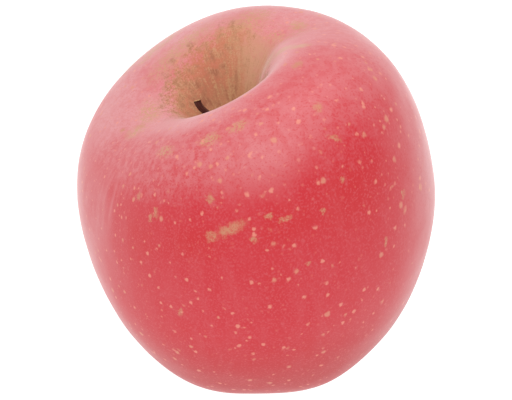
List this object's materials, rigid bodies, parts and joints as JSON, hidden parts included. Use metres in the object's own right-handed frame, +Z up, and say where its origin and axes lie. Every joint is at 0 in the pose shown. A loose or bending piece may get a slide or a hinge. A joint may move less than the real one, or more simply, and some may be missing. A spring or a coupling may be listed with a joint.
{
  "type": "red apple",
  "caption": "Whole red eating apple, lopsided, with a deep stem cavity, a short leaning stem and a dried calyx in a five-lobed base.",
  "frame": {"origin": "on the surface that the apple stands on, under the middle of its box", "axes": "+Z up from the calyx end to the stem end, -Y towards the side that the picture shows, +X to the picture's right"},
  "size_m": [0.0846, 0.0874, 0.0881],
  "materials": {
    "skin": "satin",
    "stem": "matte",
    "calyx": "matte"
  },
  "bodies": {
    "root": {"fruit": "skin", "stem": "stem", "calyx": "calyx"}
  },
  "joints": []
}
